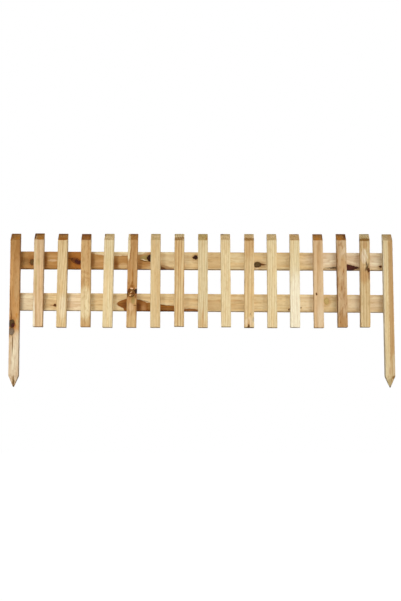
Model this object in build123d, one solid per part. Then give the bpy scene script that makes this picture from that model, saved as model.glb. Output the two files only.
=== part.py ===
from build123d import *
import math
import os

# Low picket border fence, in millimetres.
# The origin is on the left post's outer face, at ground level and at mid depth of the post.
# X runs along the fence to the right post, Y from the front to the back, Z up.

# The whole panel
panel_width = 1100.0      # over the outer faces of the two posts
picket_count = 15         # pickets between the posts
ground_gap = 10.0         # from the ground to the feet of the pickets

# Pickets, which stand in front of the rails
picket_width = 28.0
picket_depth = 20.0
picket_length = 275.0     # foot to the highest edge

# Posts, which are longer pickets ending in a point
post_width = 28.0
post_depth = 20.0
stake_length = 170.0      # how far the point reaches below the feet of the pickets
point_length = 32.0       # length of the four-sided point
tip_width = 2.5           # blunt end of the point

# Head of every upright: one slanting cut that sheds rain to the front
weather_cut = 48.0        # degrees from level

# Rails, which run behind all the uprights
rail_height = 50.0
rail_depth = 20.0
top_rail_drop = 54.0      # from the heads of the pickets to the top rail's upper edge
rail_spacing = 122.0      # upper edge to upper edge
rail_setback = 2.0        # rail ends stop this far inside the posts' outer faces

# Eased long edges of all the timber
arris = 1.0

# Places that follow from the sizes above
picket_foot = ground_gap
head_level = picket_foot + picket_length
tip_level = picket_foot - stake_length
post_length = head_level - tip_level
back_plane = post_depth / 2
pitch = (panel_width - post_width) / (picket_count + 1)
first_upright = post_width / 2


def eased_section(width, depth):
    """Rectangular timber section with its four corners taken off."""
    return chamfer(Rectangle(width, depth).vertices(), arris)


def sawn(timber, through, outward):
    """The timber left behind one straight saw cut that passes through a point."""
    return split(timber, bisect_by=Plane(origin=through, z_dir=outward), keep=Keep.BOTTOM)


def upright(width, depth, length):
    """Timber standing on the XY plane, with its head cut so that the back edge is highest."""
    timber = extrude(eased_section(width, depth), length)
    slope = math.radians(weather_cut)
    return sawn(timber, (0, depth / 2, length), (0, -math.sin(slope), math.cos(slope)))


def pointed(timber, width, depth):
    """Four saw cuts that bring the foot of an upright to a blunt point."""
    for across, half in ((Vector(1, 0, 0), width / 2), (Vector(0, 1, 0), depth / 2)):
        for side in (across, -across):
            outward = side * point_length - Vector(0, 0, half - tip_width / 2)
            timber = sawn(timber, side * half + Vector(0, 0, point_length), outward)
    return timber


def standing(timber, depth, index, level):
    """An upright at its place in the row, with its back on the rails."""
    return Pos(first_upright + index * pitch, back_plane - depth / 2, level) * timber


def rail(upper_edge):
    """Flat board behind the uprights, from post to post."""
    length = panel_width - 2 * rail_setback
    section = Plane.YZ * eased_section(rail_depth, rail_height)
    middle = Vector(rail_setback, back_plane + rail_depth / 2, upper_edge - rail_height / 2)
    return Pos(middle) * extrude(section, length)


def fence():
    """Every piece of timber by name."""
    post = pointed(upright(post_width, post_depth, post_length), post_width, post_depth)
    picket = upright(picket_width, picket_depth, picket_length)
    top_edge = head_level - top_rail_drop
    pieces = {
        "left_post": standing(post, post_depth, 0, tip_level),
        "right_post": standing(post, post_depth, picket_count + 1, tip_level),
        "top_rail": rail(top_edge),
        "bottom_rail": rail(top_edge - rail_spacing),
    }
    for number in range(1, picket_count + 1):
        pieces[f"picket_{number:02d}"] = standing(picket, picket_depth, number, picket_foot)
    return pieces


os.makedirs("parts", exist_ok=True)
for name, piece in fence().items():
    export_step(piece, f"parts/{name}.step")
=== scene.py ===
"""Low picket border fence in sawn pine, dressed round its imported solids.

Each timber is a surface of its own that stands for the node of the same name: an eased section carried
along the grain, closed by sawn ends. The pine is a solid pattern in the timber's own frame (along the grain,
across the face and into the depth), so growth rings, streaks and knots run through from face to face.
Meshes are in metres. The marks and knots of the finishes are written in millimetres.
"""

import logging
import math
from dataclasses import dataclass
from enum import Enum
from typing import Any

import bpy
import numpy as np
from mathutils import Matrix, Vector


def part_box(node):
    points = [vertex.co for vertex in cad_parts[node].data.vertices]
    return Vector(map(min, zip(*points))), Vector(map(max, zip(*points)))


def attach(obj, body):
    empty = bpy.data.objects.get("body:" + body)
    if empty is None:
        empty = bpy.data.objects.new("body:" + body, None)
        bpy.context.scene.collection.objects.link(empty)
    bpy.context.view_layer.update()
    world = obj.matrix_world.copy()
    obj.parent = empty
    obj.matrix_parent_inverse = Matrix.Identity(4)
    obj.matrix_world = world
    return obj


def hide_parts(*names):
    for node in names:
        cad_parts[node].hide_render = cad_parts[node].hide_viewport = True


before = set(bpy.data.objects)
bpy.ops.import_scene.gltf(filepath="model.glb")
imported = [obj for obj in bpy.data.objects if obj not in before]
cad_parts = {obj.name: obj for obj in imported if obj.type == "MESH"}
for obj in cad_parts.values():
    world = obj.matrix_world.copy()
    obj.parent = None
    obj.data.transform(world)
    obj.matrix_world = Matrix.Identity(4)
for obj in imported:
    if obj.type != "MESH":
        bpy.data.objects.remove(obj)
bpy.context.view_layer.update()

MM = 0.001
TURN = 2 * math.pi
# An edge that turns by more than this stays sharp
SHARP = math.radians(38)
# What a taper leaves of the width of a mark or knot at the least
NARROWEST = 0.08
log = logging.getLogger("border_fence")


class Tone(Enum):
    """Colours of the timber and the nails, as sRGB shares of 255, from pale sapwood to dark knots."""

    CREAM = (241, 224, 190)
    SHELL = (230, 203, 166)
    STRAW = (228, 204, 157)
    SAND = (221, 191, 141)
    BLUSH = (220, 184, 139)
    HONEY = (208, 170, 117)
    TAN = (199, 152, 97)
    OCHRE = (198, 170, 110)
    GINGER = (190, 122, 44)
    AMBER = (178, 126, 68)
    BRONZE = (152, 110, 54)
    RUST = (164, 102, 40)
    RUSSET = (140, 84, 36)
    UMBER = (100, 56, 26)
    PLUM = (82, 38, 30)
    BARK = (50, 26, 15)
    OLIVE = (160, 140, 82)
    MOSS = (98, 78, 44)
    ASH = (142, 124, 108)
    ZINC = (172, 174, 176)
    DULL_ZINC = (118, 120, 122)

    @property
    def light(self) -> tuple[float, float, float, float]:
        """The colour as linear light, by the sRGB curve.

        Returns:
            Red, green, blue and full alpha.
        """
        share = np.array(self.value) / 255
        linear = np.where(share <= 0.04045, share / 12.92, ((share + 0.055) / 1.055) ** 2.4)
        return (*linear.tolist(), 1.0)


class Run(Enum):
    """Which axes of the frame are along the grain, across the face and into the depth of a timber."""

    STANDING = (2, 0, 1)
    LYING = (0, 2, 1)


class Noise(Enum):
    """Noises of the pine: a stream of its own, cells a metre along and across the grain, and octaves."""

    RING_SWAY = (1, 5, 38, 1.0)
    RING_WIDTH = (2, 9, 160, 2.0)
    STREAK_ENDS = (3, 9, 330, 2.0)
    STREAK_SIDES = (4, 8, 70, 1.0)
    KNOT_ALONG = (5, 130, 130, 2.0)
    KNOT_ACROSS = (6, 130, 130, 2.0)
    BLOTCH = (7, 16, 110, 3.0)
    DRIFT = (8, 9, 90, 2.0)
    END_PATCH = (9, 150, 150, 2.0)
    FIBRE = (10, 45, 1500, 3.0)
    SPECK = (11, 700, 1400, 1.0)
    FRAY = (12, 330, 330, 3.0)
    FLECK = (13, 60, 190, 2.0)


@dataclass(frozen=True)
class Mark:
    """A soft patch or streak of another tone, in millimetres in the timber's own frame.

    Attributes:
        tone: its colour.
        along, across: its middle.
        length, width: half sizes along and across the grain.
        strength: how much of the colour below it covers.
        edge: share of the half size over which it fades.
        turn: degrees from the grain.
        taper: share by which it narrows towards its far end. Under 0 it narrows towards its near end.
    """

    tone: Tone
    along: float
    across: float
    length: float
    width: float
    strength: float = 0.8
    edge: float = 0.6
    turn: float = 0.0
    taper: float = 0.0

    CRISP = 0.3
    SHORT = 30.0

    @property
    def plain(self) -> bool:
        """Whether it is so crisp or short that it doesn't end in streaks."""
        return self.edge < self.CRISP or self.length < self.SHORT


@dataclass(frozen=True)
class Knot:
    """A branch that the saw cut across, in millimetres in the timber's own frame.

    Attributes:
        along, across: its middle.
        length, width: half sizes along and across the grain.
        core, rim: colours of its middle and of the bark round it.
        turn: degrees from the grain.
        taper: share by which it narrows towards its far end, or under 0 towards its near end.
        proud: how far it stands out of the face.
    """

    along: float
    across: float
    length: float
    width: float
    core: Tone = Tone.UMBER
    rim: Tone = Tone.BARK
    turn: float = 0.0
    taper: float = 0.0
    proud: float = 0.25


@dataclass(frozen=True)
class Pine:
    """Finish of one timber.

    Attributes:
        tone: colour of most of it.
        end: colour of its sawn ends.
        seed: sets its noise apart from the other timbers'.
        light: how much lighter or darker it is than its tone.
        ring: width of a year ring in millimetres.
        pith: place of the tree's heart across and into the depth, in millimetres from the timber's middle.
        lean: slope of the grain to the timber.
        stripe: how much darker the late wood of each year is.
        mottle: how uneven the colour is.
        fleck: how much it is flecked with short dark fibres.
        marks, knots: what is seen on this timber alone. A few marks are painted light and shade.
    """

    tone: Tone
    end: Tone
    seed: int
    light: float = 1.0
    ring: float = 4.0
    pith: tuple[float, float] = (12.0, 46.0)
    lean: float = 0.012
    stripe: float = 0.5
    mottle: float = 0.5
    fleck: float = 0.25
    marks: tuple[Mark, ...] = ()
    knots: tuple[Knot, ...] = ()


class Signal:
    """One output socket of a node tree, on which Python's operators add Math nodes."""

    def __init__(self, graph: "Graph", socket: bpy.types.NodeSocket) -> None:
        """Keeps the tree and the socket."""
        self.graph = graph
        self.socket = socket

    def math(self, operation: str, *others: "Signal | float") -> "Signal":
        """A Math node on this signal.

        Args:
            operation: the Math node's operation.
            others: its further values or signals, in order.

        Returns:
            The node's result.
        """
        return self.graph.node("ShaderNodeMath", {"operation": operation}, dict(enumerate((self, *others))))

    def __add__(self, other: "Signal | float") -> "Signal":
        """This signal and another added."""
        return self.math("ADD", other)

    def __sub__(self, other: "Signal | float") -> "Signal":
        """This signal less another."""
        return self.math("SUBTRACT", other)

    def __rsub__(self, other: float) -> "Signal":
        """A number less this signal."""
        return self.math("MULTIPLY_ADD", -1.0, other)

    def __mul__(self, other: "Signal | float") -> "Signal":
        """This signal times another."""
        return self.math("MULTIPLY", other)

    def __truediv__(self, other: "Signal | float") -> "Signal":
        """This signal divided by another."""
        return self.math("DIVIDE", other)

    __radd__ = __add__
    __rmul__ = __mul__

    def smooth(self, start: float, end: float, top: float = 1.0) -> "Signal":
        """A smooth step of this signal.

        Args:
            start: the value at which the result is 0.
            end: the value at which the result is full. It may be the smaller of the two.
            top: the full result.

        Returns:
            The step.
        """
        values = {"Value": self, "From Min": start, "From Max": end, "To Min": 0.0, "To Max": top}
        return self.graph.node("ShaderNodeMapRange", {"interpolation_type": "SMOOTHSTEP"}, values)

    def output(self, key: str) -> "Signal":
        """Another output of the same node."""
        return Signal(self.graph, Graph.pick(self.socket.node.outputs, key))


class Graph:
    """A node tree that is emptied and filled again by expressions."""

    def __init__(self, tree: bpy.types.NodeTree) -> None:
        """Empties the tree."""
        self.tree = tree
        tree.nodes.clear()

    @staticmethod
    def pick(sockets: Any, key: int | str) -> bpy.types.NodeSocket:
        """Finds a socket.

        Args:
            sockets: the inputs or the outputs of a node.
            key: the socket's index, identifier or name.

        Returns:
            The socket.
        """
        if isinstance(key, int):
            return sockets[key]
        return next((s for s in sockets if s.identifier == key), None) or sockets[key]

    def node(
        self,
        kind: str,
        settings: dict[str, Any] | None = None,
        sockets: dict[int | str, Any] | None = None,
        output: int | str = 0,
    ) -> Signal:
        """Adds a node.

        Args:
            kind: the node's type.
            settings: its own settings, which are set first.
            sockets: values or signals for its inputs.
            output: which of its outputs to return.

        Returns:
            The chosen output.
        """
        made = self.tree.nodes.new(kind)
        for name, value in (settings or {}).items():
            setattr(made, name, value)
        for key, value in (sockets or {}).items():
            socket = self.pick(made.inputs, key)
            if isinstance(value, Signal):
                self.tree.links.new(value.socket, socket)
            else:
                socket.default_value = value
        return Signal(self, self.pick(made.outputs, output))

    def mix(self, share: Signal | float, under: Any, over: Any, blend: str = "MIX") -> Signal:
        """A colour over another.

        Args:
            share: how much of the upper colour shows.
            under: the lower colour.
            over: the upper colour.
            blend: how they blend.

        Returns:
            The blended colour.
        """
        settings = {"data_type": "RGBA", "blend_type": blend}
        values = {"Factor_Float": share, "A_Color": under, "B_Color": over}
        return self.node("ShaderNodeMix", settings, values, "Result_Color")

    def surface(self, shader: Signal, target: str = "ShaderNodeOutputMaterial") -> None:
        """Links a shader to the output of the tree."""
        made = self.tree.nodes.new(target)
        self.tree.links.new(shader.socket, made.inputs["Surface"])


def new_material(name: str) -> bpy.types.Material:
    """Adds a material that is made of nodes.

    Args:
        name: its name.

    Returns:
        The material.
    """
    material = bpy.data.materials.new(name)
    material.use_nodes = True
    return material


class PineGraph(Graph):
    """The nodes of one timber's finish.

    Attributes:
        LATE_WOOD, FIBRE, FLECK, WARM, RESIN, PORE, SHADE: what each leaves of the colour under it.
        PALE: how much paler the early wood is than its tone, to make up for what those take away.
        BUMP_HEIGHT: height of the grain and the saw marks that are too fine for the mesh.
        KERF: distance between two strokes of the saw on a sawn end.
        SEED_SHIFT, STREAM_SHIFT: how far apart the noises lie, for each timber and for each stream.
    """

    LATE_WOOD = (0.72, 0.56, 0.42, 1.0)
    FIBRE = (0.72, 0.64, 0.52, 1.0)
    FLECK = (0.72, 0.58, 0.44, 1.0)
    WARM = (1.0, 0.90, 0.78, 1.0)
    RESIN = (0.78, 0.58, 0.40, 1.0)
    PORE = (0.60, 0.50, 0.42, 1.0)
    PALE = np.array([1.01, 1.12, 1.25, 1.0])
    SHADE = np.array([0.86, 0.8256, 0.774, 1.0])
    BUMP_HEIGHT = 0.25 * MM
    KERF = 1.7 * MM
    SEED_SHIFT = Vector((7.31, 3.17, 5.73))
    STREAM_SHIFT = Vector((1.9, 8.3, 4.1))

    def __init__(self, name: str, finish: Pine, middle: Vector, run: Run) -> None:
        """Makes the material and places its pattern.

        Args:
            name: the material's name.
            finish: what the timber looks like.
            middle: the origin of the timber's own frame.
            run: how the timber lies.
        """
        self.material = new_material(name)
        super().__init__(self.material.node_tree)
        self.finish = finish
        coordinates = self.node("ShaderNodeTexCoord", output="Object")
        moved = self.node("ShaderNodeVectorMath", {"operation": "SUBTRACT"}, {0: coordinates, 1: middle})
        parts = self.node("ShaderNodeSeparateXYZ", None, {0: moved})
        self.along, self.across, self.depth = (parts.output("XYZ"[axis]) for axis in run.value)
        self.place = self.vector(self.along, self.across, self.depth)
        self.cut = self.node("ShaderNodeAttribute", {"attribute_name": "cut"}, None, "Fac")

    def vector(self, along: Signal, across: Signal, depth: Signal | float) -> Signal:
        """A place in the timber's own frame."""
        return self.node("ShaderNodeCombineXYZ", None, {0: along, 1: across, 2: depth})

    def noise(self, kind: Noise) -> Signal:
        """Noise stretched along the grain.

        Args:
            kind: which of the pine's noises.

        Returns:
            The noise, about 0.5.
        """
        stream, along, across, detail = kind.value
        shift = self.SEED_SHIFT * self.finish.seed + self.STREAM_SHIFT * stream
        values = {"Vector": self.place, "Location": shift, "Scale": (along, across, across)}
        stretched = self.node("ShaderNodeMapping", {"vector_type": "POINT"}, values)
        return self.node("ShaderNodeTexNoise", None, {"Vector": stretched, "Scale": 1.0, "Detail": detail})

    def swayed(self, axis: Signal, kind: Noise, reach: float) -> Signal:
        """A coordinate that a noise moves either way, by half of the reach at most."""
        return axis + (self.noise(kind) - 0.5) * reach

    def reach(self, place: Signal, spot: Mark | Knot) -> Signal:
        """Distance from the middle of an ellipse, as a share of its half sizes.

        A tapered one is as wide at each place along it as one less its taper times that place.

        Args:
            place: the place in the timber's own frame.
            spot: the mark or knot.

        Returns:
            0 at the middle and 1 on the outline.
        """
        values = {
            "Vector": place,
            "Location": (spot.along * MM, spot.across * MM, 0.0),
            "Rotation": (0.0, 0.0, math.radians(spot.turn)),
            "Scale": (spot.length * MM, spot.width * MM, 1.0),
        }
        local = self.node("ShaderNodeMapping", {"vector_type": "TEXTURE"}, values)
        if spot.taper:
            parts = self.node("ShaderNodeSeparateXYZ", None, {0: local})
            narrow = (1 - parts.output("X") * spot.taper).math("MAXIMUM", NARROWEST)
            local = self.vector(parts.output("X"), parts.output("Y") / narrow, 0.0)
        return self.node("ShaderNodeVectorMath", {"operation": "LENGTH"}, {0: local}, "Value")

    def late_wood(self, reaches: list[Signal]) -> Signal:
        """The dark part of each year ring.

        The ring number is the distance from the pith over the ring's width. The fibres part round each knot,
        so near one the distance across is drawn towards the knot's middle before the rings are counted.

        Args:
            reaches: the distance from each knot.

        Returns:
            0 in the early wood, rising to 1 at the end of each year.
        """
        across = self.swayed(self.across, Noise.RING_SWAY, 7 * MM)
        for knot, reach in zip(self.finish.knots, reaches):
            across = across - (across - knot.across * MM) * reach.smooth(3.4, 0.6, 0.85)
        sideways = across - self.finish.pith[0] * MM
        inward = self.depth - self.finish.pith[1] * MM
        radius = (sideways * sideways + inward * inward).math("SQRT") + self.along * self.finish.lean
        year = (radius / (self.finish.ring * MM) + self.noise(Noise.RING_WIDTH) * 0.9).math("FRACT")
        return year.smooth(0.25, 0.9) * year.smooth(1.0, 0.92)

    def ragged(self) -> Signal:
        """The place in the timber for patches that end in streaks.

        Returns:
            The place, moved along by streaks of fibres.
        """
        along = self.swayed(self.along, Noise.STREAK_ENDS, 26 * MM)
        across = self.swayed(self.across, Noise.STREAK_SIDES, 5 * MM)
        return self.vector(along, across, self.depth)

    def uneven(self) -> Signal:
        """The place in the timber for knots and plain patches, which aren't true ellipses.

        Returns:
            The place, moved a little all ways.
        """
        along = self.swayed(self.along, Noise.KNOT_ALONG, 5 * MM)
        across = self.swayed(self.across, Noise.KNOT_ACROSS, 4 * MM)
        return self.vector(along, across, self.depth)

    def base(self, uneven: Signal) -> Signal:
        """The timber's own tone, its sawn ends and its marks, a few of which are painted light and shade.

        Args:
            uneven: the place in the timber for plain patches.

        Returns:
            The colour.
        """
        tone = np.array(self.finish.tone.light) * self.PALE * self.finish.light
        end = np.array(self.finish.end.light) * self.PALE
        blotch = self.noise(Noise.BLOTCH).smooth(0.3, 0.72)
        colour = self.mix(blotch * self.finish.mottle, tone, tone * self.SHADE)
        drift = self.noise(Noise.DRIFT).smooth(0.42, 0.7, 0.7)
        colour = self.mix(drift, colour, self.WARM, "MULTIPLY")
        patch = self.noise(Noise.END_PATCH).smooth(0.38, 0.66, 0.8)
        colour = self.mix(self.cut, colour, self.mix(patch, end, end * self.SHADE * self.SHADE))
        ragged = self.ragged()
        for mark in self.finish.marks:
            reach = self.reach(uneven if mark.plain else ragged, mark)
            cover = reach.smooth(1.0, 1.0 - mark.edge, mark.strength)
            colour = self.mix(cover, colour, np.array(mark.tone.light) * self.PALE)
        fleck = self.noise(Noise.FLECK).smooth(0.5, 0.68) * self.finish.fleck
        return self.mix(fleck, colour, self.FLECK, "MULTIPLY")

    def knotted(self, colour: Signal, reaches: list[Signal]) -> tuple[Signal, Signal]:
        """Knots over the grain: a resin-stained halo, rings in the core and a dark rim.

        Args:
            colour: the colour of the grain.
            reaches: the distance from each knot.

        Returns:
            The colour, and 1 where there is a knot.
        """
        covered = self.cut * 0.0
        rough = self.noise(Noise.FRAY)
        for knot, reach in zip(self.finish.knots, reaches):
            colour = self.mix(reach.smooth(2.2, 0.9, 0.6), colour, self.RESIN, "MULTIPLY")
            frayed = reach + (rough - 0.5) * 0.7
            ripple = (frayed * (2.6 * TURN)).math("SINE").smooth(-0.8, 1.0, 0.6)
            bark = frayed.smooth(0.5, 0.95) * rough.smooth(0.34, 0.52)
            whole = self.mix(bark.math("MAXIMUM", ripple), knot.core.light, knot.rim.light)
            cover = frayed.smooth(1.15, 0.85)
            colour = self.mix(cover, colour, whole)
            covered = covered.math("MAXIMUM", cover)
        return colour, covered

    def dress(self) -> bpy.types.Material:
        """Puts the finish together.

        Returns:
            The material.
        """
        uneven = self.uneven()
        reaches = [self.reach(uneven, knot) for knot in self.finish.knots]
        late = self.late_wood(reaches)
        fibre = self.noise(Noise.FIBRE)
        speck = self.noise(Noise.SPECK)
        colour = self.base(uneven)
        colour = self.mix(late * self.finish.stripe, colour, self.LATE_WOOD, "MULTIPLY")
        colour = self.mix(fibre.smooth(0.45, 0.75, 0.32), colour, self.FIBRE, "MULTIPLY")
        colour = self.mix(self.cut * speck.smooth(0.5, 0.75, 0.7), colour, self.PORE, "MULTIPLY")
        colour, covered = self.knotted(colour, reaches)
        kerf = (self.along * (TURN / self.KERF)).math("SINE") * self.cut
        height = late * 0.35 + fibre * 0.5 + speck * 0.25 + kerf * 0.3 + covered * 0.3
        bump = {"Strength": 0.55, "Distance": self.BUMP_HEIGHT, "Height": height}
        values = {
            "Base Color": colour,
            "Roughness": 0.82 - late * 0.1 - covered * 0.12 + fibre * 0.1,
            "Specular IOR Level": 0.08,
            "Normal": self.node("ShaderNodeBump", None, bump),
        }
        self.surface(self.node("ShaderNodeBsdfPrincipled", None, values))
        return self.material


@dataclass(frozen=True)
class Galvanised:
    """Finish of the nails: zinc, dull in patches.

    Attributes:
        bright, dull: colours of the zinc.
        patches: dull patches a metre.
    """

    bright: Tone = Tone.ZINC
    dull: Tone = Tone.DULL_ZINC
    patches: float = 900.0

    def dress(self) -> bpy.types.Material:
        """Puts the finish together.

        Returns:
            The material.
        """
        material = new_material("galvanised_steel")
        graph = Graph(material.node_tree)
        place = graph.node("ShaderNodeTexCoord", output="Object")
        values = {"Vector": place, "Scale": self.patches, "Detail": 3.0}
        share = graph.node("ShaderNodeTexNoise", None, values).smooth(0.35, 0.65)
        values = {
            "Base Color": graph.mix(share, self.bright.light, self.dull.light),
            "Metallic": 1.0,
            "Roughness": share * 0.25 + 0.35,
        }
        graph.surface(graph.node("ShaderNodeBsdfPrincipled", None, values))
        return material


def unevenness(
    points: np.ndarray, wave: tuple[float, float, float], seed: int, count: int = 24
) -> np.ndarray:
    """Smooth unevenness: cosine waves of seeded direction and phase, added, with a spread of about one.

    Args:
        points: places, with three coordinates last.
        wave: typical wavelength along each axis.
        seed: the draw of directions and phases.
        count: how many waves are added.

    Returns:
        A height for each place.
    """
    draw = np.random.default_rng(seed)
    rates = draw.normal(size=(count, 3)) / np.array(wave)
    phases = draw.uniform(0, TURN, count)
    return np.cos(TURN * points @ rates.T + phases).sum(-1) * math.sqrt(2 / count)


def smooth_step(values: np.ndarray, start: float, end: float) -> np.ndarray:
    """0 before start, 1 after end, and 3t^2 - 2t^3 between them."""
    share = np.clip((values - start) / (end - start), 0, 1)
    return share * share * (3 - 2 * share)


def add_mesh(
    name: str, points: np.ndarray, faces: list[list[int]], material: bpy.types.Material
) -> bpy.types.Object:
    """Makes a mesh object at the origin, with its place in its mesh.

    Args:
        name: the object's name.
        points: vertices, one row each.
        faces: vertex numbers of each face.
        material: its finish.

    Returns:
        The object.
    """
    mesh = bpy.data.meshes.new(name)
    mesh.from_pydata(points.tolist(), [], faces)
    mesh.materials.append(material)
    made = bpy.data.objects.new(name, mesh)
    bpy.context.scene.collection.objects.link(made)
    return made


def add_piece(
    name: str, points: np.ndarray, faces: list[list[int]], material: bpy.types.Material
) -> bpy.types.Object:
    """Makes a smooth piece that rides on the fence.

    Args:
        name: the piece's name.
        points: vertices, one row each.
        faces: vertex numbers of each face.
        material: its finish.

    Returns:
        The object.
    """
    piece = add_mesh(name, points, faces, material)
    piece.data.shade_smooth()
    piece.data.set_sharp_from_angle(angle=SHARP)
    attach(piece, "root")
    log.info("%s: %d faces", name, len(faces))
    return piece


def skin_faces(rings: int, around: int, pole: int = 0) -> list[list[int]]:
    """Faces of a closed skin: a first pole, rings of points, and a last pole.

    Counted from the first pole, point number 1 + ring * around + step is on a ring. Neighbouring rings are
    joined by quads, and each end ring to its pole by a fan.

    Args:
        rings: number of rings.
        around: points on each ring.
        pole: vertex number of the first pole.

    Returns:
        Vertex numbers of each face, turned outwards.
    """
    step = np.arange(around)
    after = (step + 1) % around
    first = pole + 1
    start = first + around * np.arange(rings - 1)[:, None]
    quads = np.stack([start + step, start + after, start + after + around, start + step + around], -1)
    last = first + around * (rings - 1)
    foot = np.stack([np.full_like(step, pole), first + after, first + step], -1)
    head = np.stack([np.full_like(step, last + around), last + step, last + after], -1)
    return quads.reshape(-1, 4).tolist() + foot.tolist() + head.tolist()


@dataclass(frozen=True)
class Section:
    """Points round a rectangle with eased corners.

    A point on a corner is the corner's centre plus its easing times the cosine and sine of an angle. A point
    on a side divides the straight line between the two corners that end it.

    Attributes:
        front, side: points between the corners on the sides along the first and the second axis.
        corner: points on each corner.
    """

    front: int
    side: int
    corner: int = 4

    @property
    def count(self) -> int:
        """How many points there are round the outline."""
        return 2 * (self.front + self.side) + 4 * self.corner

    def around(self) -> tuple[np.ndarray, np.ndarray, np.ndarray, np.ndarray]:
        """Where each point lies on the outline.

        Returns:
            The corner before it, the corner after it, its angle, and how far it is from one to the other.
            The corners are numbered anticlockwise from the one with both signs negative.
        """
        before, after, angle, share = [], [], [], []
        for number, between in enumerate((self.front, self.side, self.front, self.side)):
            quarter = number * math.pi / 2
            before += [number] * (self.corner + between)
            after += [number] * self.corner + [(number + 1) % 4] * between
            angle += np.linspace(quarter - math.pi, quarter - math.pi / 2, self.corner).tolist()
            angle += [quarter - math.pi / 2] * between
            share += [0.0] * self.corner + (np.arange(1, between + 1) / (between + 1)).tolist()
        return np.array(before), np.array(after), np.array(angle), np.array(share)

    def outline(self, half: np.ndarray, ease: np.ndarray) -> tuple[np.ndarray, np.ndarray]:
        """The outline at every ring.

        Args:
            half: half sizes of each ring, one row each.
            ease: easing of the corners of each ring along the two axes, ring by corner by axis.

        Returns:
            The points and their outward directions, ring by point by axis.
        """
        before, after, angle, share = self.around()
        signs = np.array([(-1, -1), (1, -1), (1, 1), (-1, 1)])
        outward = np.stack([np.cos(angle), np.sin(angle)], -1)
        centres = signs * (half[:, None, :] - ease)
        ends = [centres[:, corner] + ease[:, corner] * outward for corner in (before, after)]
        points = ends[0] * (1 - share[:, None]) + ends[1] * share[:, None]
        return points, np.broadcast_to(outward, points.shape)


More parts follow.
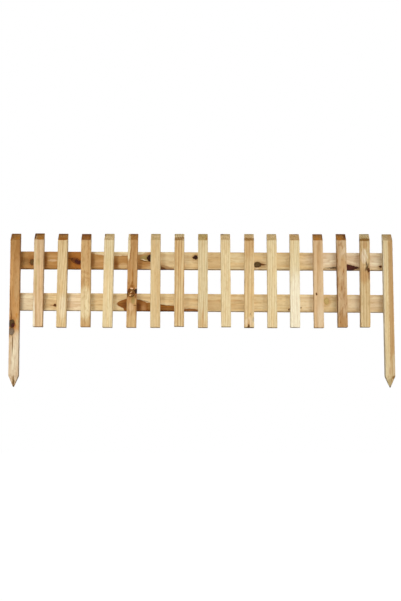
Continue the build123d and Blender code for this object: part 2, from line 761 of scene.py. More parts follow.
@dataclass
class Timber:
    """A sawn timber that stands for one node.

    Attributes:
        node: the node's name.
        slot: the record's material slot.
        finish: the timber's own look.
        run: how it lies.
        section: how its outline is divided.
        ease: rounding of its long edges.
        rim: rounding of its sawn ends.
        spacing: distance between rings of points.
        sawn: height of the unevenness that the saw left.
        CAP: sizes of the rings on a sawn end, as shares of its outline.
        EASE_SPREAD, EASE_WAVE, LEAST_EASE: how uneven the long edges are, and their least rounding.
        KNOCKS, KNOCK_REACH, KNOCK_DEPTH: knocks on each long edge, and the range of their sizes.
        SAW_WAVE, FINE_WAVE: wavelengths of the unevenness, across, in depth and along.
    """

    node: str
    slot: str
    finish: Pine
    run: Run
    section: Section
    ease: float = 1.1 * MM
    rim: float = 0.4 * MM
    spacing: float = 2.2 * MM
    sawn: float = 0.09 * MM

    CAP = np.array([0.25, 0.5, 0.75, 0.92])
    EASE_SPREAD = 0.22
    EASE_WAVE = (1.0, 1.0, 0.03)
    LEAST_EASE = 0.5 * MM
    KNOCKS = 3
    KNOCK_REACH = (2.5 * MM, 6 * MM)
    KNOCK_DEPTH = (0.2 * MM, 1.0 * MM)
    SAW_WAVE = (9 * MM, 9 * MM, 30 * MM)
    FINE_WAVE = (5 * MM, 5 * MM, 5 * MM)

    def __post_init__(self) -> None:
        """Reads the timber's size and place from its node."""
        low, high = (np.array(corner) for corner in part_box(self.node))
        along, across, depth = self.run.value
        self.start, self.end = low[along], high[along]
        self.half = (high - low)[[across, depth]] / 2
        middle = (low + high) / 2
        middle[along] = 0.0
        self.middle = middle

    def stations(self) -> tuple[np.ndarray, np.ndarray, np.ndarray]:
        """The rings of the body, from the first sawn end to the last.

        Returns:
            The level of each ring, its tilt (rise for each metre of depth) and its half sizes.
        """
        count = int((self.end - self.start) / self.spacing)
        level = np.linspace(self.start + self.rim, self.end - self.rim, count)
        return level, np.zeros(count), np.tile(self.half, (count, 1))

    def caps(self) -> tuple[tuple[float, float], tuple[float, float]]:
        """Level at mid depth and tilt of the first and the last sawn end."""
        return (self.start, 0.0), (self.end, 0.0)

    def easing(self, level: np.ndarray) -> np.ndarray:
        """Easing of the four long edges, uneven and with a few knocks.

        Each edge's easing is a smooth unevenness about its mean, plus bell-shaped knocks at seeded places.

        Args:
            level: the level of each ring.

        Returns:
            Easing along the two axes, ring by corner by axis.
        """
        draw = np.random.default_rng(self.finish.seed)
        places = np.zeros((len(level), 4, 3))
        places[..., 2] = level[:, None]
        places[..., 0] = np.arange(4)
        ease = self.ease * (1 + self.EASE_SPREAD * unevenness(places, self.EASE_WAVE, self.finish.seed))
        knocks = draw.uniform(self.start, self.end, (4, self.KNOCKS))
        reach = draw.uniform(*self.KNOCK_REACH, (4, self.KNOCKS))
        depth = draw.uniform(*self.KNOCK_DEPTH, (4, self.KNOCKS))
        bells = depth * np.exp(-(((level[:, None, None] - knocks) / reach) ** 2))
        return np.repeat((np.maximum(ease, self.LEAST_EASE) + bells.sum(-1))[..., None], 2, -1)

    @staticmethod
    def crown(reach: np.ndarray) -> np.ndarray:
        """A dome that falls from 0.6 to 1.1 of a knot's size, less a bell-shaped crack round the knot."""
        return smooth_step(-reach, -1.1, -0.6) - 1.6 * np.exp(-(((reach - 1.05) / 0.16) ** 2))

    def relief(self, along: np.ndarray, section: np.ndarray, outward: np.ndarray) -> np.ndarray:
        """Height over the true outline: saw marks, and knots that stand proud on the front and the back.

        Args:
            along: place along the grain of each point.
            section: place across and in depth of each point.
            outward: outward direction in the section.

        Returns:
            The height of each point.
        """
        places = np.concatenate([section, along[..., None]], -1)
        height = self.sawn * unevenness(places, self.SAW_WAVE, self.finish.seed + 100)
        height += 0.5 * self.sawn * unevenness(places, self.FINE_WAVE, self.finish.seed + 200)
        flat = np.abs(outward[..., 1])
        for knot in self.finish.knots:
            turn = math.radians(knot.turn)
            ahead = along - knot.along * MM
            aside = section[..., 0] - knot.across * MM
            forward = (ahead * math.cos(turn) + aside * math.sin(turn)) / (knot.length * MM)
            sideways = (aside * math.cos(turn) - ahead * math.sin(turn)) / (knot.width * MM)
            reach = np.hypot(forward, sideways / np.maximum(1 - knot.taper * forward, NARROWEST))
            height += flat * knot.proud * MM * self.crown(reach)
        return height

    def settle(self, points: np.ndarray) -> np.ndarray:
        """Last small shift of the whole timber, for one that was nailed a little off."""
        return points

    def surface(self) -> tuple[np.ndarray, np.ndarray]:
        """The timber's skin, from the first pole over the rings to the last pole.

        A ring of the body is the eased outline at its level plus the tilt times the depth, moved out by the
        relief. A ring of a sawn end is the end ring's outline shrunk towards its middle, on the cut's plane.

        Returns:
            The vertices, and 1 for each vertex on a sawn end.
        """
        level, tilt, half = self.stations()
        outline, outward = self.section.outline(half, self.easing(level))
        flat = level[:, None] + tilt[:, None] * outline[..., 1]
        height = self.relief(flat, outline, outward)
        body = np.concatenate([outline + outward * height[..., None], flat[..., None]], -1)
        (low, low_tilt), (high, high_tilt) = self.caps()
        shrink = np.append(self.CAP, 1 - self.rim / self.half.min())[:, None, None]
        ends = []
        for ring, base, slope in ((outline[0], low, low_tilt), (outline[-1], high, high_tilt)):
            shrunk = ring * np.minimum(shrink, 1 - self.rim / np.abs(ring).max())
            ends.append(np.concatenate([shrunk, (base + slope * shrunk[..., 1])[..., None]], -1))
        rings = np.concatenate([ends[0], body, ends[1][::-1]])
        cut = np.zeros(rings.shape[:2])
        cut[: len(shrink)] = 1.0
        cut[-len(shrink):] = 1.0
        poles = np.array([(0.0, 0.0, low), (0.0, 0.0, high)])
        local = np.concatenate([poles[:1], rings.reshape(-1, 3), poles[1:]])
        cut = np.concatenate([[1.0], cut.ravel(), [1.0]])
        placed = np.zeros_like(local)
        along, across, depth = self.run.value
        placed[:, across], placed[:, depth], placed[:, along] = local.T
        return self.settle(placed + self.middle), cut

    def build(self) -> bpy.types.Object:
        """Makes and dresses the timber.

        Returns:
            Its object, which stands for its node.
        """
        points, cut = self.surface()
        around = self.section.count
        faces = skin_faces((len(points) - 2) // around, around)
        if self.run is Run.LYING:
            faces = [face[::-1] for face in faces]
        finish = PineGraph(f"pine_{self.node}", self.finish, Vector(self.middle), self.run).dress()
        piece = add_piece(f"{self.node}_timber", points, faces, finish)
        piece.data.attributes.new("cut", "FLOAT", "POINT").data.foreach_set("value", cut.astype(np.float32))
        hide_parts(self.node)
        return piece


@dataclass
class Picket(Timber):
    """An upright with a slanted head.

    Attributes:
        weather_cut: slope of the head, in degrees from level.
        off: how far the head and the foot were nailed to the right of their place.
        lift: how far the head and the foot end above their place.
        wane: width and depth of the bark edge missing at the foot of the left front edge.
        wane_top: the level at which the missing edge begins.
        HEAD_TURN: half depths below the head over which the rings turn into its slope.
        HEAD_RIM: rounding of the head for each part of the rim's.
    """

    weather_cut: float = 48.0
    off: tuple[float, float] = (0.0, 0.0)
    lift: tuple[float, float] = (0.0, 0.0)
    wane: tuple[float, float] = (0.0, 0.0)
    wane_top: float = 150 * MM

    HEAD_TURN = 3
    HEAD_RIM = 1.4

    def caps(self) -> tuple[tuple[float, float], tuple[float, float]]:
        """Level at mid depth and tilt of the foot and the head."""
        slope = math.tan(math.radians(self.weather_cut))
        return (self.start, 0.0), (self.end - self.half[1] * slope, slope)

    def stations(self) -> tuple[np.ndarray, np.ndarray, np.ndarray]:
        """Level rings up to the head, then rings that tilt gradually into the slanted cut.

        Returns:
            The level of each ring, its tilt and its half sizes.
        """
        head, slope = self.caps()[1]
        turn = head - self.HEAD_TURN * self.half[1]
        plain = np.arange(self.start + self.rim, turn, self.spacing)
        share = np.linspace(0, 1, int((head - turn) / self.spacing) + 1)
        level = np.concatenate([plain, turn + share * (head - self.rim * self.HEAD_RIM - turn)])
        tilt = np.concatenate([np.zeros(len(plain)), share * slope])
        return level, tilt, self.sizes(level)

    def sizes(self, level: np.ndarray) -> np.ndarray:
        """Half sizes at each level."""
        return np.tile(self.half, (len(level), 1))

    def easing(self, level: np.ndarray) -> np.ndarray:
        """Easing of the long edges, with the missing edge growing from its top to the foot.

        Args:
            level: the level of each ring.

        Returns:
            Easing along the two axes, ring by corner by axis.
        """
        ease = super().easing(level)
        if any(self.wane):
            share = smooth_step(-level, -self.wane_top, -self.start)
            ease[:, 0] += share[:, None] * np.array(self.wane)
        return ease

    def settle(self, points: np.ndarray) -> np.ndarray:
        """Shifts the head and the foot sideways and up, in a straight line between them.

        Args:
            points: the vertices in their true place.

        Returns:
            The shifted vertices.
        """
        share = (points[:, 2] - self.start) / (self.end - self.start)
        points[:, 0] += self.off[1] + share * (self.off[0] - self.off[1])
        points[:, 2] += self.lift[1] + share * (self.lift[0] - self.lift[1])
        return points


@dataclass
class Stake(Picket):
    """A longer upright whose foot is sawn to a four-sided point.

    Attributes:
        point: length of the point.
        tip: width of its blunt end.
        POINT_EASE: what the cuts of the point leave of the easing.
    """

    point: float = 32 * MM
    tip: float = 2.5 * MM

    POINT_EASE = 0.25

    def sizes(self, level: np.ndarray) -> np.ndarray:
        """Half sizes at each level: full above the shoulder, and straight down to the tip below it."""
        share = np.clip((level - self.start) / self.point, 0, 1)[:, None]
        return self.tip / 2 + share * (self.half - self.tip / 2)

    def easing(self, level: np.ndarray) -> np.ndarray:
        """Easing of the long edges, most of which the cuts of the point take away.

        Args:
            level: the level of each ring.

        Returns:
            Easing along the two axes, ring by corner by axis.
        """
        share = np.clip((level - self.start) / self.point, 0.0, 1.0)
        left = self.POINT_EASE + (1 - self.POINT_EASE) * smooth_step(share, 0.9, 1.0)
        return super().easing(level) * left[:, None, None]


@dataclass
class Rail(Timber):
    """A flat board behind the uprights, with dents where the nails were driven.

    Attributes:
        nails: places of the nails along and across the board.
        rise: how far the left and the right end were nailed above their place.
        dent: depth and reach of each dent.
    """

    nails: np.ndarray | None = None
    rise: tuple[float, float] = (0.0, 0.0)
    dent: tuple[float, float] = (0.35 * MM, 3.4 * MM)

    def settle(self, points: np.ndarray) -> np.ndarray:
        """Lifts the ends, in a straight line between them.

        Args:
            points: the vertices in their true place.

        Returns:
            The lifted vertices.
        """
        share = (points[:, 0] - self.start) / (self.end - self.start)
        points[:, 2] += self.rise[0] + share * (self.rise[1] - self.rise[0])
        return points

    def relief(self, along: np.ndarray, section: np.ndarray, outward: np.ndarray) -> np.ndarray:
        """Height over the true outline: saw marks, knots and the dents round the nails on the back.

        Args:
            along: place along the grain of each point.
            section: place across and in depth of each point.
            outward: outward direction in the section.

        Returns:
            The height of each point.
        """
        height = super().relief(along, section, outward)
        back = np.clip(outward[..., 1], 0, 1)
        aside = section[..., 0]
        for nail_along, nail_across in self.nails:
            reach = np.hypot(along - nail_along, aside - nail_across) / self.dent[1]
            height -= back * self.dent[0] * np.exp(-(reach**4))
        return height


@dataclass
class NailRow:
    """Round nail heads on the back of one rail, two at each upright, made as one joined mesh.

    Attributes:
        rail: the rail's node.
        uprights: the nodes that are nailed to it.
        seed: the draw of the small misses of the hammer.
        spread: half distance between the two nails, along and across the rail.
        miss: largest miss.
        sunk: how far the face of the board lies above the nail's seat.
        AROUND: points round a head.
        PROFILE: radius and rise of a head, from below the face of the board to its middle.
        DIMPLE: rise of its very middle for each part of the last rise.
    """

    rail: str
    uprights: list[str]
    seed: int
    spread: tuple[float, float] = (6 * MM, 12 * MM)
    miss: float = 1.5 * MM
    sunk: float = 0.3 * MM

    AROUND = 14
    PROFILE = np.array([(2.5, -0.8), (2.5, 0.12), (2.3, 0.27), (1.3, 0.33), (0.6, 0.28)]) * MM
    DIMPLE = 0.9

    def places(self) -> np.ndarray:
        """Where the nails are.

        Returns:
            Places along the rail and across it from its middle, one row for each nail.
        """
        draw = np.random.default_rng(self.seed)
        middles = [sum(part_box(node), Vector()).x / 2 for node in self.uprights]
        side = np.array([(-1, 1), (1, -1)]) * self.spread
        pairs = np.stack([np.array(middles), np.zeros(len(middles))], -1)[:, None] + side
        return pairs.reshape(-1, 2) + draw.uniform(-self.miss, self.miss, (2 * len(middles), 2))

    def build(self, material: bpy.types.Material, board: Rail) -> bpy.types.Object:
        """Turns one head's profile round its axis and sets a copy at each place.

        Args:
            material: the nails' finish.
            board: the rail that they sit in.

        Returns:
            The joined heads.
        """
        low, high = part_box(self.rail)
        angle = np.arange(self.AROUND) * TURN / self.AROUND
        radius, rise = self.PROFILE.T
        ring = np.stack([np.cos(angle), np.sin(angle)], -1)
        across = radius[:, None, None] * ring
        level = np.repeat(rise[:, None], self.AROUND, 1)
        rings = np.concatenate([across, level[..., None]], -1).reshape(-1, 3)
        head = np.concatenate([[(0, 0, rise[0])], rings, [(0, 0, rise[-1] * self.DIMPLE)]])
        places = self.places()
        points = np.empty((len(places), len(head), 3))
        points[..., 0] = places[:, :1] - head[:, 0]
        points[..., 1] = high.y - self.sunk + head[:, 2]
        points[..., 2] = (low.z + high.z) / 2 + places[:, 1:] + head[:, 1]
        faces = []
        for number in range(len(places)):
            faces += skin_faces(len(radius), self.AROUND, number * len(head))
        return add_piece(f"{self.rail}_nails", board.settle(points.reshape(-1, 3)), faces, material)


@dataclass(frozen=True)
class Lamp:
    """A soft lamp.

    Attributes:
        name: its name.
        place: where it stands.
        aim: the point that it faces.
        size: its width and height.
        spread: the angle into which its grid lets the light, in degrees.
        power: its watts.
    """

    name: str
    place: tuple[float, float, float]
    aim: tuple[float, float, float]
    size: tuple[float, float]
    spread: float
    power: float


@dataclass
class Studio:
    """Camera, soft lamps, pale surroundings and a floor far below.

    Attributes:
        eye: place of the camera.
        look_up: its tilt above level, in degrees.
        roll: its small turn about the line of sight, in degrees.
        lens: focal length over a 36 mm wide picture.
        lamps: a lamp near either end, a narrow one over the camera and a wide one behind.
        surround: brightness of the surroundings as the object sees them.
        floor_level: height of the floor.
        floor_half: half its width.
        FILL: colour of the surroundings as the object sees them.
        PAINT: how much light the floor's paint throws back.
        WHITE: the least brightness at which the floor shows white.
    """

    eye: tuple[float, float, float] = (0.5457, -3.010, -0.281)
    look_up: float = 7.0
    roll: float = 0.1
    lens: float = 63.2
    lamps: tuple[Lamp, ...] = (
        Lamp("left_lamp", (-0.30, -0.85, 0.08), (0.12, 0.0, 0.02), (0.50, 0.8), 64.0, 1.3),
        Lamp("right_lamp", (1.60, -0.95, 0.08), (1.02, 0.0, 0.02), (0.80, 0.8), 58.0, 1.24),
        Lamp("front_lamp", (0.62, -2.2, 0.75), (0.62, 0.0, 0.08), (0.35, 0.7), 42.0, 1.72),
        Lamp("back_lamp", (0.55, 2.4, 0.7), (0.55, 0.0, 0.08), (1.2, 0.8), 60.0, 5.0),
    )
    surround: float = 0.22
    floor_level: float = -1.66
    floor_half: float = 60.0

    FILL = (1.0, 0.82, 0.58)
    PAINT = 0.8
    WHITE = 1.02

    def camera(self) -> None:
        """Sets the camera at the photograph's viewing angle."""
        data = bpy.data.cameras.new("camera")
        data.lens = self.lens
        camera = bpy.data.objects.new("camera", data)
        tilted = Matrix.Rotation(math.radians(90 + self.look_up), 4, "X")
        rolled = Matrix.Rotation(math.radians(self.roll), 4, "Z")
        camera.matrix_world = Matrix.Translation(self.eye) @ tilted @ rolled
        bpy.context.scene.collection.objects.link(camera)
        bpy.context.scene.camera = camera

    def hang_lamps(self) -> None:
        """Hangs the lamps, each turned to its aim."""
        for lamp in self.lamps:
            data = bpy.data.lights.new(lamp.name, "AREA")
            data.shape = "RECTANGLE"
            data.size, data.size_y = lamp.size
            data.energy = lamp.power
            data.spread = math.radians(lamp.spread)
            hung = bpy.data.objects.new(lamp.name, data)
            hung.visible_camera = False
            turned = (Vector(lamp.aim) - Vector(lamp.place)).to_track_quat("-Z", "Y").to_matrix().to_4x4()
            hung.matrix_world = Matrix.Translation(lamp.place) @ turned
            bpy.context.scene.collection.objects.link(hung)

    @staticmethod
    def seen(graph: Graph) -> Signal:
        """Tells the rays of the camera from those that light the object.

        Args:
            graph: the node tree that asks.

        Returns:
            1 for what the camera sees, straight or in gloss and glass.
        """
        path = graph.node("ShaderNodeLightPath", output="Is Camera Ray")
        both = path.math("MAXIMUM", path.output("Is Glossy Ray"))
        return both.math("MAXIMUM", path.output("Is Transmission Ray"))

    def surroundings(self) -> None:
        """Surroundings that show white and light the object softly, a little warm."""
        world = bpy.data.worlds.new("surroundings")
        world.use_nodes = True
        bpy.context.scene.world = world
        graph = Graph(world.node_tree)
        seen = self.seen(graph)
        fill = [share * self.surround for share in self.FILL] + [1.0]
        values = {"Color": graph.mix(seen, fill, (1.0, 1.0, 1.0, 1.0)), "Strength": 1.0}
        graph.surface(graph.node("ShaderNodeBackground", None, values), "ShaderNodeOutputWorld")

    def floor(self) -> None:
        """A wide pale floor that shows white and keeps the shadow."""
        material = new_material("floor_paint")
        graph = Graph(material.node_tree)
        paint = graph.node("ShaderNodeBsdfDiffuse", None, {"Color": (*[self.PAINT] * 3, 1.0)})
        missing = [self.WHITE - self.PAINT * share * self.surround for share in self.FILL] + [1.0]
        glow = graph.node("ShaderNodeEmission", None, {"Color": missing})
        white = graph.node("ShaderNodeAddShader", None, {0: paint, 1: glow})
        graph.surface(graph.node("ShaderNodeMixShader", None, {0: self.seen(graph), 1: paint, 2: white}))
        corners = np.array([(-1, -1), (1, -1), (1, 1), (-1, 1)]) * self.floor_half
        points = np.column_stack([corners, np.full(4, self.floor_level)])
        floor = add_mesh("floor", points, [[0, 1, 2, 3]], material)

    def build(self) -> None:
        """Sets up the whole studio."""
        bpy.context.scene.view_settings.view_transform = "Standard"
        self.camera()
        self.hang_lamps()
        self.surroundings()
        self.floor()


# Short name for the tables below, where the numbers of marks and knots stand in the order of their fields
T = Tone

# Dirt along the upper edge of a head, on brown and on pale timber
WORN = Mark(T.UMBER, 288, 0, 11, 40, 0.7, 0.7)
GREYED = Mark(T.OLIVE, 288, 0, 11, 40, 0.6, 0.7)

UPRIGHTS: dict[str, Pine] = {
    "left_post": Pine(
        T.TAN, T.AMBER, 1, light=1.06, pith=(6, 34), ring=5.0, fleck=0.45,
        marks=(
            Mark(T.AMBER, 255, 0, 60, 24, 0.7),
            Mark(T.HONEY, 120, 4, 60, 9, 0.4),
            Mark(T.SHELL, -75, 2, 90, 30, 0.95, 0.3),
            Mark(T.CREAM, -80, 1, 60, 9, 0.5),
            Mark(T.RUSSET, 85, -12, 46, 2.4, 0.7),
            Mark(T.GINGER, 44, 6, 9, 4, 0.6),
            Mark(T.OCHRE, 24, 7, 12, 5, 0.6),
            Mark(T.UMBER, 44, -9.5, 20, 2.4, 0.75, 0.6, 0, 0.7),
            Mark(T.BRONZE, -44, -4, 38, 2.4, 0.9, 0.6, 0, -0.8),
            Mark(T.MOSS, -36, -3.8, 30, 1.3, 0.8, 0.6, 0, -0.8),
            Mark(T.GINGER, 269, 4, 7, 10, 0.7),
            Mark(T.RUSSET, 275, -12, 14, 5, 0.5),
            Mark(T.BRONZE, -141, 0, 18, 3.4, 0.9, 0.5, 0, 0.5),
            Mark(T.MOSS, -147, 0, 12, 2.0, 0.8),
            Mark(T.MOSS, -160, 0, 8, 9, 0.85),
            # Painted light: a pale strip down the whole right side face, the side that faces the middle of
            # the fence
            Mark(T.SHELL, 60, 15.5, 330, 2.4, 0.9, 0.3),
            WORN,
        ),
        knots=(
            Knot(-2, -7.5, 12, 8, T.ASH, T.MOSS),
            Knot(20, -7, 12.5, 8.5, T.MOSS, T.BARK),
            Knot(15, -4.5, 6, 4.5, T.PLUM, T.BARK),
        ),
    ),
    "picket_01": Pine(
        T.BLUSH, T.AMBER, 2, pith=(-22, 40),
        marks=(
            Mark(T.STRAW, 200, -11, 110, 4.5, 0.85),
            Mark(T.OCHRE, 198, -1, 14, 8, 0.5),
            Mark(T.OCHRE, 140, -7, 50, 4, 0.55),
            Mark(T.CREAM, 20, -12, 90, 4.6, 0.75, 0.3),
            Mark(T.RUSSET, 30, -7.4, 64, 1.4, 0.4),
            Mark(T.BARK, 10, -9, 3, 5, 0.6),
            Mark(T.GINGER, 268, 3, 7, 9, 0.8),
            Mark(T.UMBER, 276, -13.5, 14, 4.5, 0.85, 0.5),
            WORN,
        ),
    ),
    "picket_02": Pine(
        T.SAND, T.AMBER, 3, pith=(46, 20), ring=6.0, lean=0.06,
        marks=(
            Mark(T.CREAM, 70, 2, 50, 14, 0.4),
            Mark(T.TAN, 250, 0, 30, 2, 0.5),
            Mark(T.RUST, 266, 1, 5, 17, 0.9, 0.4),
            Mark(T.UMBER, 276, -14, 13, 2.5, 0.7),
            Mark(T.UMBER, 284, 0, 6, 22, 0.75),
        ),
    ),
    "picket_03": Pine(
        T.HONEY, T.RUSSET, 4, pith=(-8, 34), mottle=0.9, fleck=0.55,
        marks=(
            Mark(T.TAN, 225, 0, 70, 22, 0.45),
            Mark(T.AMBER, 168, 0, 5, 18, 0.45, 0.6, 20),
            Mark(T.AMBER, 152, 4, 4, 14, 0.4, 0.6, 20),
            Mark(T.STRAW, 80, -1, 56, 26, 0.9, 0.4),
            Mark(T.TAN, 14, 2, 10, 16, 0.5),
            Mark(T.RUST, 270, 3, 5, 12, 0.7),
            WORN,
        ),
    ),
    "picket_04": Pine(
        T.STRAW, T.SAND, 5, pith=(40, 26),
        marks=(
            Mark(T.OCHRE, 205, -2, 36, 12, 0.25),
            GREYED,
            Mark(T.UMBER, 282, -13, 9, 4, 0.75),
        ),
    ),
    "picket_05": Pine(
        T.TAN, T.AMBER, 6, light=0.91, pith=(22, 30), ring=5.0, mottle=0.8, fleck=0.4,
        marks=(
            Mark(T.RUSSET, 224, -4, 32, 1.4, 0.7, 0.5, 8),
            Mark(T.RUST, 160, 1, 30, 3, 0.55),
            Mark(T.AMBER, 112, 0, 36, 20, 0.75),
            Mark(T.TAN, 86, 0, 14, 20, 0.6),
            Mark(T.HONEY, 25, 0, 44, 24, 0.9),
            Mark(T.RUSSET, 138, 0.5, 7, 2.6, 0.8),
            Mark(T.RUSSET, 129, 0, 5, 7, 0.7),
            Mark(T.UMBER, 104, -13, 12, 2.4, 0.8),
            Mark(T.UMBER, 98, 10, 8, 3, 0.7),
            Mark(T.OLIVE, 89, 3.5, 16, 8, 0.75),
            Mark(T.BLUSH, 68, -3, 16, 10, 0.6),
            Mark(T.UMBER, 73, 9, 2.2, 6, 0.7),
            Mark(T.CREAM, 122.5, 12, 2.8, 2.6, 0.95),
            WORN,
            Mark(T.STRAW, 250, -11, 52, 7, 0.9, 0.28),
            Mark(T.STRAW, 276, -11, 14, 6, 0.9, 0.28),
        ),
        knots=(
            Knot(110, -2, 13, 12, T.BRONZE, T.BARK),
            Knot(114, -8, 5, 3.2, T.UMBER, T.UMBER, 20),
            Knot(108, 1, 1.6, 6.5, T.UMBER, T.UMBER, 24),
            Knot(121.5, -1.5, 2.0, 5.0, T.SHELL, T.TAN),
            Knot(111, -2, 1.4, 4.5, T.BLUSH, T.TAN, -24),
            Knot(103, -5, 2.0, 4.2, T.BLUSH, T.AMBER, -20),
            Knot(114, 12, 6.5, 4.5, T.BARK, T.BARK),
        ),
    ),
    "picket_06": Pine(
        T.SAND, T.SAND, 7, light=0.97, pith=(60, 10), ring=4.4,
        marks=(GREYED, Mark(T.OCHRE, 267, 0, 5, 20, 0.5)),
    ),
    "picket_07": Pine(
        T.SAND, T.STRAW, 8, light=0.96, pith=(64, 16), ring=7.0, stripe=0.95,
        marks=(
            Mark(T.TAN, 200, 2, 100, 4, 0.55),
            Mark(T.HONEY, 230, 0, 50, 24, 0.6),
            GREYED,
            Mark(T.BRONZE, 268, 0, 6.5, 26, 0.75, 0.5, -10),
            Mark(T.BRONZE, 264, 0, 2.4, 26, 0.8),
        ),
    ),
    "picket_08": Pine(
        T.STRAW, T.OCHRE, 9, light=0.91, pith=(50, 30), ring=5.0,
        marks=(
            Mark(T.TAN, 30, 2, 46, 4, 0.75),
            Mark(T.AMBER, 55, 5, 60, 1.5, 0.5),
            Mark(T.AMBER, 40, -5, 50, 1.5, 0.4),
            Mark(T.HONEY, 18, 0, 22, 20, 0.6),
            GREYED,
            Mark(T.RUST, 267, 12, 6, 4, 0.7),
        ),
    ),
    "picket_09": Pine(
        T.STRAW, T.SAND, 10, pith=(-60, 16), ring=5.0, stripe=0.55,
        marks=(
            Mark(T.SAND, 245, 0, 26, 20, 0.6),
            GREYED,
            Mark(T.UMBER, 285, -10, 6, 9, 0.8),
        ),
    ),
    "picket_10": Pine(
        T.SAND, T.STRAW, 11, pith=(36, 44), ring=5.0, stripe=0.6, fleck=0.35,
        marks=(
            Mark(T.TAN, 250, 0, 60, 22, 0.6),
            Mark(T.TAN, 130, -4, 120, 2.2, 0.5),
            GREYED,
            Mark(T.BRONZE, 266, 1, 6.5, 26, 0.85, 0.5),
            Mark(T.SHELL, 26, 0, 18, 16, 0.6),
            Mark(T.TAN, 26, 0, 14, 3, 0.8),
            Mark(T.ASH, 33, 12.5, 12, 3, 0.6),
            Mark(T.MOSS, 49, 5.2, 5, 1.3, 0.6),
            Mark(T.MOSS, 10, 1, 3, 20, 0.7),
        ),
        knots=(Knot(12, -0.5, 7, 3, T.MOSS, T.UMBER),),
    ),
    "picket_11": Pine(
        T.STRAW, T.SAND, 12, pith=(52, 30), ring=5.0,
        marks=(
            GREYED,
            Mark(T.OCHRE, 268, 2, 6, 14, 0.5),
            Mark(T.UMBER, 274, -14.5, 14, 2, 0.6),
        ),
    ),
    "picket_12": Pine(
        T.STRAW, T.HONEY, 13, pith=(-40, 36), stripe=0.3, mottle=0.3,
        marks=(
            Mark(T.CREAM, 70, 0, 130, 26, 0.95, 0.45),
            Mark(T.UMBER, 286, 7, 5, 14, 0.8, 0.6, -10),
        ),
    ),
    "picket_13": Pine(
        T.BLUSH, T.AMBER, 14, pith=(18, 52), ring=5.0, stripe=0.4,
        marks=(
            Mark(T.TAN, 215, 2, 70, 9, 0.4),
            Mark(T.SHELL, 40, 4, 50, 12, 0.4),
            Mark(T.GINGER, 268, -2, 7, 10, 0.7),
            WORN,
            Mark(T.UMBER, 275, 13.5, 14, 5, 0.8),
        ),
        knots=(Knot(107, -6.4, 3.2, 2.2, T.UMBER, T.BARK),),
    ),
    "picket_14": Pine(
        T.BLUSH, T.AMBER, 15, light=0.93, pith=(4, 26), mottle=1.0, fleck=0.9,
        marks=(
            Mark(T.SHELL, 232, 6, 18, 6, 0.5, 0.6, 20),
            Mark(T.TAN, 190, 2, 30, 9, 0.5, 0.6, 8),
            Mark(T.AMBER, 130, -2, 26, 10, 0.4, 0.6, 12),
            Mark(T.AMBER, 24, 0, 34, 24, 0.65),
            Mark(T.UMBER, 120, -13, 150, 2.0, 0.5),
            Mark(T.GINGER, 268, -5, 8, 9, 0.7),
            WORN,
            Mark(T.UMBER, 277, 11, 14, 7, 0.8),
        ),
    ),
    "picket_15": Pine(
        T.SAND, T.STRAW, 16, pith=(46, 30), ring=5.4, stripe=0.65, fleck=0.35,
        marks=(
            Mark(T.TAN, 250, 1, 18, 9, 0.75),
            Mark(T.TAN, 160, -2, 32, 18, 0.8),
            Mark(T.SHELL, 216, -3, 26, 11, 0.85, 0.4),
            Mark(T.CREAM, 224, 3, 18, 2.4, 0.7, 0.5, -18),
            Mark(T.CREAM, 212, -3, 18, 2.2, 0.7, 0.5, -18),
            Mark(T.AMBER, 191, -3, 1.6, 9, 0.6),
            Mark(T.BARK, 196, 3.8, 9, 1.8, 0.8, 0.5, 0, 0.7),
            Mark(T.UMBER, 158, 11, 16, 2.0, 0.6),
            Mark(T.UMBER, 181, 4.5, 12, 6.5, 0.8, 0.85, 30),
            Mark(T.MOSS, 186, 6, 17, 4.5, 0.8, 0.8, 20),
            GREYED,
            Mark(T.OCHRE, 272, 0, 8, 26, 0.5),
            Mark(T.BRONZE, 265.5, 0, 5.5, 26, 0.95, 0.4),
        ),
        knots=(Knot(176, 10, 7, 3.6, T.UMBER, T.BARK),),
    ),
    "right_post": Pine(
        T.STRAW, T.SAND, 17, light=1.1, pith=(34, 22),
        marks=(
            Mark(T.TAN, 95, 9, 400, 11, 0.85, 0.28),
            Mark(T.SAND, -108, 10, 48, 10, 0.85, 0.25),
            Mark(T.SHELL, -108, 11, 38, 4, 0.5),
            Mark(T.TAN, -95, 4, 40, 1.6, 0.7),
            Mark(T.BLUSH, -112, -1, 14, 6, 0.7),
            Mark(T.OLIVE, -145, -1, 14, 9, 0.4),
            Mark(T.BRONZE, -131, 10, 5, 8, 0.95, 0.5, -30),
            Mark(T.ASH, -160, 0, 8, 9, 0.9),
            # Painted light: a pale strip down the whole left side face, the side that faces the middle of
            # the fence
            Mark(T.CREAM, 60, -15.5, 330, 2.4, 1.0, 0.3),
            Mark(T.SAND, 270, 4, 12, 18, 0.4),
            GREYED,
            Mark(T.UMBER, 268, 13.5, 8, 3, 0.6),
        ),
    ),
}

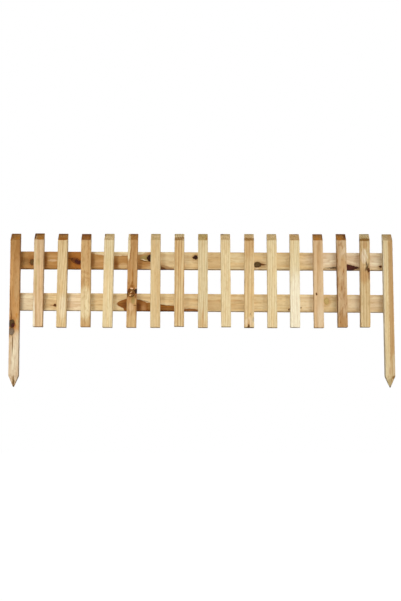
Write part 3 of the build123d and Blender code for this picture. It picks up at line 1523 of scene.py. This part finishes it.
RAILS: dict[str, Pine] = {
    "top_rail": Pine(
        T.SAND, T.AMBER, 21, pith=(4, 40), ring=6.0, fleck=0.35,
        marks=(
            Mark(T.AMBER, 90, 0, 400, 70, 0.95, 0.35),
            Mark(T.TAN, 118, 12, 26, 5, 0.6),
            # Partly painted shade: darker brown on the rail just right of picket_01, where its shadow falls,
            # over heartwood that is darker there too
            Mark(T.RUSSET, 92, 0, 13, 30, 0.7),
            Mark(T.RUST, 182, 0, 36, 44, 0.9, 0.5),
            Mark(T.UMBER, 172, 4.5, 13, 2.4, 0.7, 0.5, -14),
            Mark(T.TAN, 258, -8, 28, 16, 0.75),
            Mark(T.HONEY, 322, -16, 20, 13, 0.7),
            # Partly painted shade: darker brown on the rail just right of picket_04, where its shadow falls,
            # over heartwood that is darker there too
            Mark(T.RUSSET, 300, -10, 14, 24, 0.7, 0.8),
            # Partly painted shade: darker brown on the rail just right of picket_03, where its shadow falls,
            # over heartwood that is darker there too
            Mark(T.RUSSET, 228, 0, 14, 30, 0.6, 0.8),
            Mark(T.STRAW, 310, 25, 90, 13, 0.9, 0.2),
            Mark(T.RUSSET, 318, 13, 26, 1.4, 0.6),
            Mark(T.SHELL, 117, 0, 18, 4.5, 0.4),
            Mark(T.HONEY, 585, 0, 28, 40, 0.75),
            Mark(T.AMBER, 372, -8, 32, 22, 0.75),
            Mark(T.RUSSET, 366, -20, 14, 10, 0.6),
            Mark(T.MOSS, 40, -4, 16, 14, 0.35),
            Mark(T.STRAW, 470, 6, 60, 26, 0.7),
            Mark(T.OLIVE, 384, 7, 18, 10, 0.85, 0.28, 0, -0.85),
            Mark(T.CREAM, 383, 2, 12, 1.8, 0.9, 0.5, -14),
            Mark(T.UMBER, 381, -1.5, 17, 1.6, 0.85, 0.5, -15),
            Mark(T.RUSSET, 440, -25, 36, 14, 0.6, 0.28, 0, 0.8),
            Mark(T.UMBER, 427, -24, 22, 11, 0.85, 0.28, 0, 0.8),
            Mark(T.STRAW, 655, 10, 40, 20, 0.4),
            Mark(T.UMBER, 726, -11, 13, 3, 0.9, 0.28, 0, 0.8),
            Mark(T.CREAM, 709, -23.5, 8, 2.5, 0.9),
            Mark(T.TAN, 800, -17, 80, 1.5, 0.5),
            Mark(T.SHELL, 990, 4, 190, 40, 0.9),
            Mark(T.CREAM, 925, 2, 30, 16, 0.6),
            Mark(T.CREAM, 1055, 0, 40, 18, 0.6),
            Mark(T.BARK, 930, -20.5, 32, 2.6, 0.9, 0.28, 0, -0.7),
            Mark(T.BARK, 1000, -20, 12, 1.8, 0.85, 0.5),
        ),
        knots=(
            Knot(58, -5, 7.5, 9.5, T.MOSS, T.UMBER),
            Knot(185, -1, 16, 8.5, T.RUSSET, T.BARK, -22),
            Knot(190, -4, 10, 4.8, T.PLUM, T.BARK, -28),
            Knot(399, 7, 8.5, 10.5, T.BARK, T.BARK),
            Knot(530, 9.5, 7, 6.5, T.BARK, T.BARK, 0, -0.25),
            Knot(710, -11.5, 12, 8.5, T.MOSS, T.BARK),
            Knot(974, -20, 32, 10, T.PLUM, T.BARK, 0, 0.75),
            Knot(1067, -17, 4.5, 3, T.UMBER, T.BARK),
        ),
    ),
    "bottom_rail": Pine(
        T.SAND, T.AMBER, 22, pith=(-6, 44), ring=6.0, fleck=0.35,
        marks=(
            Mark(T.CREAM, 50, 0, 50, 44, 0.55),
            Mark(T.SHELL, 190, 0, 50, 40, 0.7),
            Mark(T.RUSSET, 118, -9, 9, 3, 0.5),
            Mark(T.HONEY, 258, 0, 26, 40, 0.4),
            Mark(T.HONEY, 575, 0, 26, 40, 0.4),
            Mark(T.RUSSET, 333, -4.5, 31, 16, 1.0, 0.15, 0, -0.35),
            Mark(T.RUSSET, 362, -11, 42, 21.5, 1.0, 0.1, 0, 0.4),
            Mark(T.RUSSET, 420, -29, 92, 27, 1.0, 0.1, 0, 0.55),
            Mark(T.RUSSET, 451, -27, 45, 19.5, 1.0, 0.1),
            Mark(T.RUST, 449, -11, 30, 3.5, 0.7),
            Mark(T.BRONZE, 449, -20, 30, 5, 0.5),
            Mark(T.BRONZE, 399, -13, 8, 14, 0.6),
            Mark(T.RUSSET, 515, -24, 34, 7, 0.9, 0.25),
            Mark(T.TAN, 382, -20, 12, 24, 0.42, 0.9),
            Mark(T.UMBER, 343, -8, 34, 17, 0.95, 0.8),
            Mark(T.BRONZE, 316, -1, 9, 2, 0.5, 0.6, 8),
            # Partly painted shade: darker brown on the rail just right of picket_05, where its shadow falls,
            # over wood that is dark there too
            Mark(T.UMBER, 366, -14, 10, 18, 0.6, 0.8),
            Mark(T.UMBER, 380, 5, 24, 2.4, 0.6, 0.5, -12),
            Mark(T.UMBER, 446, -9, 29, 2.6, 0.5, 0.5, -4),
            Mark(T.UMBER, 420, -25, 90, 4, 0.6, 0.5),
            Mark(T.SHELL, 850, 0, 60, 36, 0.35),
            Mark(T.SHELL, 1020, 0, 90, 36, 0.6),
            Mark(T.HONEY, 906, 3, 26, 20, 0.6),
        ),
        knots=(
            Knot(126, -8.5, 4.4, 3.6, T.UMBER, T.BARK, 0, -0.4),
            Knot(909, 5, 7, 10, T.OCHRE, T.OLIVE),
            Knot(801, -20, 2.2, 3.0, T.UMBER, T.BARK),
            Knot(835, -15, 2.0, 2.0, T.ASH, T.OLIVE),
        ),
    ),
}

# How far the head and the foot of an upright stand to the right of their place, in millimetres
SIDEWAYS = {
    "left_post": (-3.0, 0.0),
    "picket_01": (-1.5, -1.0),
    "picket_02": (0.0, -1.0),
    "picket_03": (0.0, 1.5),
    "picket_04": (0.0, -3.0),
    "picket_05": (2.0, -1.5),
    "picket_07": (1.5, 1.5),
    "picket_08": (2.5, 2.5),
    "picket_09": (0.0, 2.2),
    "picket_10": (2.0, 1.0),
    "picket_11": (0.0, 0.7),
    "picket_12": (-1.0, -1.0),
    "picket_13": (-1.0, 0.0),
    "picket_14": (-0.3, 1.0),
    "picket_15": (1.0, -1.3),
    "right_post": (-1.0, -0.3),
}
# How far the head and the foot of an upright stand above their place
UPWARDS = {
    "picket_01": (1.0, 1.5),
    "picket_03": (-0.5, 1.5),
    "picket_07": (0.0, 3.0),
    "picket_09": (0.0, 2.0),
    "picket_12": (0.0, 1.0),
    "picket_14": (0.5, 1.5),
    "picket_15": (0.5, 2.0),
}
# How far the left and the right end of a rail stand above their place
RISE = {
    "top_rail": (1.5, -1.5),
    "bottom_rail": (2.3, -2.3),
}
# Width and depth of a missing bark edge
WANE = {"picket_01": (5.5, 1.6)}


def in_metres(table: dict[str, tuple[float, float]], name: str) -> tuple[float, float]:
    """A pair of lengths in metres from a table in millimetres, or two zeros."""
    first, second = table.get(name, (0.0, 0.0))
    return first * MM, second * MM


def main() -> None:
    """Builds the studio, the uprights, the rails and their nails."""
    logging.basicConfig(level=logging.INFO, format="%(name)s: %(message)s")
    Studio().build()
    for node, finish in UPRIGHTS.items():
        kind, slot = (Stake, "post_timber") if node.endswith("post") else (Picket, "picket_timber")
        upright = kind(node, slot, finish, Run.STANDING, Section(front=13, side=9))
        upright.off = in_metres(SIDEWAYS, node)
        upright.lift = in_metres(UPWARDS, node)
        upright.wane = in_metres(WANE, node)
        upright.build()
    steel = Galvanised().dress()
    for seed, (node, finish) in enumerate(RAILS.items()):
        nails = NailRow(node, list(UPRIGHTS), seed)
        board = Rail(node, "rail_timber", finish, Run.LYING, Section(front=22, side=9))
        board.nails = nails.places()
        board.rise = in_metres(RISE, node)
        board.build()
        nails.build(steel, board)


if __name__ == "__main__":
    main()
